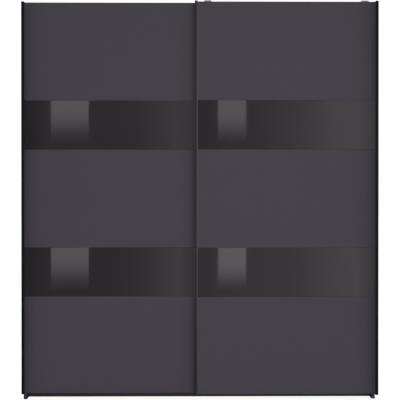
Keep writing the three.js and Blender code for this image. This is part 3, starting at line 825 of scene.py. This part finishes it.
def slider_rivets():
    """Rivets that hold the nylon sliders of the front door on their steel arms."""
    apart = 10 * MM
    for side in SIDES:
        low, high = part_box(f"right_door_guide_slider_{side}")
        centre = (low + high) / 2
        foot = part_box(f"right_door_guide_arm_{side}")[0].z
        form = Form()
        for x in (centre.x - apart, centre.x + apart):
            form.lathe(scaled(RIVET), facing_along((0, 0, -1), (x, centre.y, foot)), 24)
        form.piece(f"right_door_slider_rivets_{side}", "right_door", "zinc_steel")


def profile_end_caps():
    """Black plugs in the open ends of the edge profiles, above and below the leaf."""
    web, lip, reach, sunk, ease = 1.6 * MM, 1.1 * MM, 14 * MM, 0.4 * MM, 0.2 * MM
    for door in DOORS:
        leaf_low, leaf_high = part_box(f"{door}_leaf")
        form = Form()
        for side in SIDES:
            low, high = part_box(f"{door}_profile_{side}")
            x0, x1 = (low.x + web, low.x + reach) if side == "left" else (high.x - reach, high.x - web)
            for z0, z1 in ((low.z + sunk, leaf_low.z - ease), (leaf_high.z + ease, high.z - sunk)):
                form.block((x0, low.y + lip, z0), (x1, high.y - lip, z1), 0.5 * MM)
        form.piece(f"{door}_end_caps", door, "black_plastic")


cam_covers()
back_nails()
track_screws()
bracket_screws()
door_screws()
slider_rivets()
profile_end_caps()


# ---- Stage: floor, flags, light and the studio that the glass reflects --------------------------
WHITE = (1.0, 1.0, 1.0)
SEEN_FLOOR = (0.16, 0.16, 0.16)  # the floor, as the camera sees it, on top of SHADOW_LIFT
# The floor's bounce is painted: brighter near the wardrobe, painted light that makes up for the shade the
# wardrobe casts there, and nearly black under the doors, a painted shadow.
FAR_BOUNCE, NEAR_BOUNCE = (0.28, 0.28, 0.28), (0.50, 0.50, 0.50)  # the floor, as it lights the wardrobe
FOOT_SHADOW_BOUNCE = (0.02, 0.02, 0.02)  # the floor under the doors
FLOOR_GLOSS = (0.16, 0.16, 0.16)  # the floor, as gloss reflects it
SKY_LEFT, SKY_RIGHT, SKY_REAR = 0.60, 1.78, 1.0  # the surround, as it lights the wardrobe
BACKDROP = 1.06  # the surround, as the camera sees it
FRONT_GLOSS, REAR_GLOSS = 0.18, 0.9  # the surround, as gloss reflects it
FLOOR_LIGHT = 1.9
INSIDE_LIGHT, INSIDE_LIGHT_SIZE, INSIDE_LIGHT_PLACE = 40.0, 1.6, (0.0, -3.4, 1.25)
NEAR_FLOOR, UNDER_DOORS = (-1.6, -0.5), (-0.35, -0.31)  # from Y to Y, where the floor's bounce changes
SHADOW_LIFT = 0.93  # keeps the shadow at the foot of the wardrobe pale


def stage_mesh(name, points, faces):
    mesh = bpy.data.meshes.new(name)
    mesh.from_pydata(points, [], faces)
    thing = bpy.data.objects.new(name, mesh)
    bpy.context.scene.collection.objects.link(thing)
    return thing


def hide_from(thing, *rays):
    for ray in rays:
        setattr(thing, f"visible_{ray}", False)


def floor():
    """A pale disc, which lights the wardrobe less than it shows to the camera. Its bounce carries painted
    light near the wardrobe and a painted shadow under the doors, and for the camera it glows to keep shadows
    pale.
    """
    reach, segments = 40.0, 96
    rim = [(x, y, 0.0) for x, y in circle(reach, segments)]
    thing = stage_mesh("floor", rim, [tuple(range(segments))])
    look = Look("floor_look", SEEN_FLOOR, 0.8, **{"Specular IOR Level": 0.1})
    ray = look.ray()
    y = look.split(look.place)["Y"]
    nearness, underneath = (look.ranged(y, 0.0, 1.0, *ends) for ends in (NEAR_FLOOR, UNDER_DOORS))
    # painted light near the wardrobe and a painted shadow under the doors, in the light the floor bounces
    bounce = look.mixed(underneath, look.mixed(nearness, FAR_BOUNCE, NEAR_BOUNCE), FOOT_SHADOW_BOUNCE)
    lighting = look.mixed(ray["Is Diffuse Ray"], SEEN_FLOOR, bounce)
    look.colour(look.mixed(ray["Is Glossy Ray"], lighting, FLOOR_GLOSS))
    lift = look.maths("MULTIPLY", ray["Is Camera Ray"], SHADOW_LIFT)
    look.set(**{"Emission Color": WHITE, "Emission Strength": lift})
    thing.data.materials.append(look.material)


def make_lamp(name, kind, energy):
    """A lamp that gloss doesn't reflect."""
    light = bpy.data.lights.new(name, kind)
    light.energy = energy
    lamp = bpy.data.objects.new(name, light)
    bpy.context.scene.collection.objects.link(lamp)
    hide_from(lamp, "glossy")
    return lamp


def floor_light():
    """A beam straight down, which keeps the floor white round the foot of the wardrobe."""
    lamp = make_lamp("floor_light", "SUN", FLOOR_LIGHT)
    lamp.data.angle = math.radians(1.5)


def inside_light():
    """A soft light from the front that only falls on the carcass, for the inside of an open wardrobe."""
    lamp = make_lamp("inside_light", "AREA", INSIDE_LIGHT)
    lamp.data.size = INSIDE_LIGHT_SIZE
    lamp.location = INSIDE_LIGHT_PLACE
    lamp.rotation_euler = (math.pi / 2, 0.0, 0.0)
    carcass = bpy.data.collections.new("carcass")
    for thing in frame["bodies"]["root"].children:
        if thing.type == "MESH":
            carcass.objects.link(thing)
    lamp.light_linking.receiver_collection = carcass


def flag(name, side, door, lean, reach):
    """A dark flag beside a door that leans over its outer edge, so that light falls off towards the edge."""
    clear, behind, above, bend = 3.5 * MM, 10 * MM, 50 * MM, 0.6
    low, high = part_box(f"{door}_profile_{side}")
    sign = -1 if side == "left" else 1
    edge = (low.x if side == "left" else high.x) + sign * clear
    outline = [(edge, low.y + behind), (edge, low.y - bend * reach), (edge - sign * lean, low.y - reach)]
    points = [(x, y, z) for z in (0.0, high.z + above) for x, y in outline]
    thing = stage_mesh(name, points, [(0, 1, 4, 3), (1, 2, 5, 4)])
    look = Look(f"{name}_look", (0.15, 0.15, 0.15), 0.9, **{"Specular IOR Level": 0.0})
    thing.data.materials.append(look.material)
    hide_from(thing, "camera", "glossy")


def emissive_card(name, x_range, z_range, y, stops, axis):
    """A light card that only reflections see. stops are (place 0..1, brightness) along X or Z."""
    (x0, x1), (z0, z1) = x_range, z_range
    card = stage_mesh(name, [(x0, y, z0), (x1, y, z0), (x1, y, z1), (x0, y, z1)], [(0, 1, 2, 3)])
    material = bpy.data.materials.new(name)
    glow = Nodes(material)
    ends = x_range if axis == "X" else z_range
    along = glow.ranged(glow.split(glow.coords("Object"))[axis], 0.0, 1.0, *ends)
    ramp = glow.node("ShaderNodeValToRGB", {"Fac": along})
    peak = max(value for _, value in stops)
    elements = ramp.color_ramp.elements
    while len(elements) < len(stops):
        elements.new(0.5)
    for element, (place, value) in zip(elements, stops):
        element.position, element.color = place, (*[value / peak] * 3, 1.0)
    tinted = glow.mixed(1.0, ramp.outputs["Color"], CARD_TINT, blend="MULTIPLY")
    emission = glow.node("ShaderNodeEmission", {"Color": tinted, "Strength": peak})
    glow.node("ShaderNodeOutputMaterial", {"Surface": emission.outputs[0]})
    card.data.materials.append(material)
    hide_from(card, "camera", "diffuse", "transmission", "volume_scatter", "shadow")


CARD_Y = -4.0
CARD_TINT = (1.06, 1.01, 1.08)
GRADIENTS = {  # brightness across what shows of the glass, from its left end to its right end
    ("left_door", "upper"): [
        (0.0, 0.2), (0.06, 0.22), (0.13, 0.32), (0.4, 0.32), (0.55, 0.325), (0.68, 0.38), (0.9, 0.71),
        (1.0, 0.60),
    ],
    ("left_door", "lower"): [
        (0.0, 0.22), (0.06, 0.22), (0.13, 0.29), (0.4, 0.28), (0.55, 0.32), (0.68, 0.41), (0.9, 0.78),
        (1.0, 0.58),
    ],
    ("right_door", "upper"): [
        (0.0, 0.27), (0.12, 0.35), (0.18, 0.43), (0.32, 0.41), (0.5, 0.60), (0.65, 0.78), (0.75, 1.02),
        (0.9, 1.10), (1.0, 0.80),
    ],
    ("right_door", "lower"): [
        (0.0, 0.37), (0.12, 0.47), (0.25, 0.53), (0.5, 0.62), (0.65, 0.77), (0.75, 0.95), (0.9, 1.1),
        (1.0, 0.66),
    ],
}
WINDOWS = {"left_door": (-0.7433, -0.5544), "right_door": (0.0913, 0.2312)}  # X of the patches' edges
WINDOW_FADES = {  # brightness from the foot of the patch to the top of the glass
    "left_door": [(0.0, 0.38), (0.18, 0.55), (0.37, 1.0), (0.52, 1.36), (0.68, 1.64), (1.0, 1.71)],
    "right_door": [
        (0.0, 0.48), (0.11, 0.6), (0.25, 0.92), (0.39, 1.26), (0.54, 1.58), (0.66, 1.67), (1.0, 1.71),
    ],
}
WINDOW_STRENGTHS = {("right_door", "lower"): 1.18}  # those that are brighter than the others
WINDOW_FOOT = 0.16  # where the patch starts, as a part of the glass's height
WINDOW_HEAD, HEAD_BRIGHTNESS = 0.15, 0.3  # above the glass the patch fades out again
WINDOW_GAP = 0.05  # the patches stand this far in front of the cards
CARD_RANGES = {"lower": (0.01, 1.0), "upper": (1.0, 3.2)}  # from Z to Z


def mirrored(x, z, glass_y, card_y):
    """Where on a card at card_y the camera sees, by reflection, the point (x, z) of a glass face."""
    reach = (2 * glass_y - card_y - EYE.y) / (glass_y - EYE.y)
    return EYE.x + (x - EYE.x) * reach, EYE.z + (z - EYE.z) * reach


def reflected_studio():
    """Cards that give each door's glass its gradient and a window-like patch in each band."""
    overlap_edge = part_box("right_door_profile_left")[0].x
    for door in DOORS:
        glass_low, glass_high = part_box(f"{door}_glass_upper")
        glass_y = glass_low.y
        ends = (glass_low.x, overlap_edge) if door == "left_door" else (overlap_edge, glass_high.x)
        left, right = (mirrored(x, 0.0, glass_y, CARD_Y)[0] for x in ends)
        for place, z_range in CARD_RANGES.items():
            name = f"{door}_card_{place}"
            emissive_card(name, (left, right), z_range, CARD_Y, GRADIENTS[door, place], "X")
            strength = WINDOW_STRENGTHS.get((door, place), 1.0)
            low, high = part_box(f"{door}_glass_{place}")
            foot = low.z + WINDOW_FOOT * (high.z - low.z)
            head = high.z + WINDOW_HEAD
            seen = (high.z - foot) / (head - foot)
            fade = [(at * seen, value * strength) for at, value in WINDOW_FADES[door]]
            fade.append((1.0, HEAD_BRIGHTNESS * strength))
            nearer = CARD_Y + WINDOW_GAP
            x_left, bottom = mirrored(WINDOWS[door][0], foot, glass_y, nearer)
            x_right, top = mirrored(WINDOWS[door][1], head, glass_y, nearer)
            emissive_card(f"{door}_window_{place}", (x_left, x_right), (bottom, top), nearer, fade, "Z")


def studio_world():
    """A white surround that lights the doors mostly from the right; gloss sees it dimmer in front of them."""
    world = bpy.data.worlds.new("studio")
    bpy.context.scene.world = world
    sky = Nodes(world)
    towards = sky.split(sky.coords("Generated"))
    ray = sky.ray()
    front = sky.ranged(towards["X"], SKY_LEFT, SKY_RIGHT, -0.5, 0.5, smooth=True)
    rearward = sky.ranged(towards["Y"], 0.0, 1.0, -0.2, 0.3, smooth=True)
    soft = sky.mixed(rearward, front, SKY_REAR, kind="FLOAT")
    gloss = sky.ranged(towards["Y"], FRONT_GLOSS, REAR_GLOSS, -0.95, 0.1, smooth=True)
    lit = sky.mixed(ray["Is Glossy Ray"], soft, gloss, kind="FLOAT")
    seen = sky.mixed(ray["Is Camera Ray"], lit, BACKDROP, kind="FLOAT")
    background = sky.node("ShaderNodeBackground", {"Color": WHITE, "Strength": seen})
    sky.node("ShaderNodeOutputWorld", {"Surface": background.outputs[0]})


floor()
floor_light()
inside_light()
flag("left_flag", "left", "left_door", lean=32.5 * MM, reach=50 * MM)
flag("right_flag", "right", "right_door", lean=19.5 * MM, reach=45 * MM)
studio_world()
reflected_studio()
bpy.context.scene.view_settings.view_transform = "Standard"
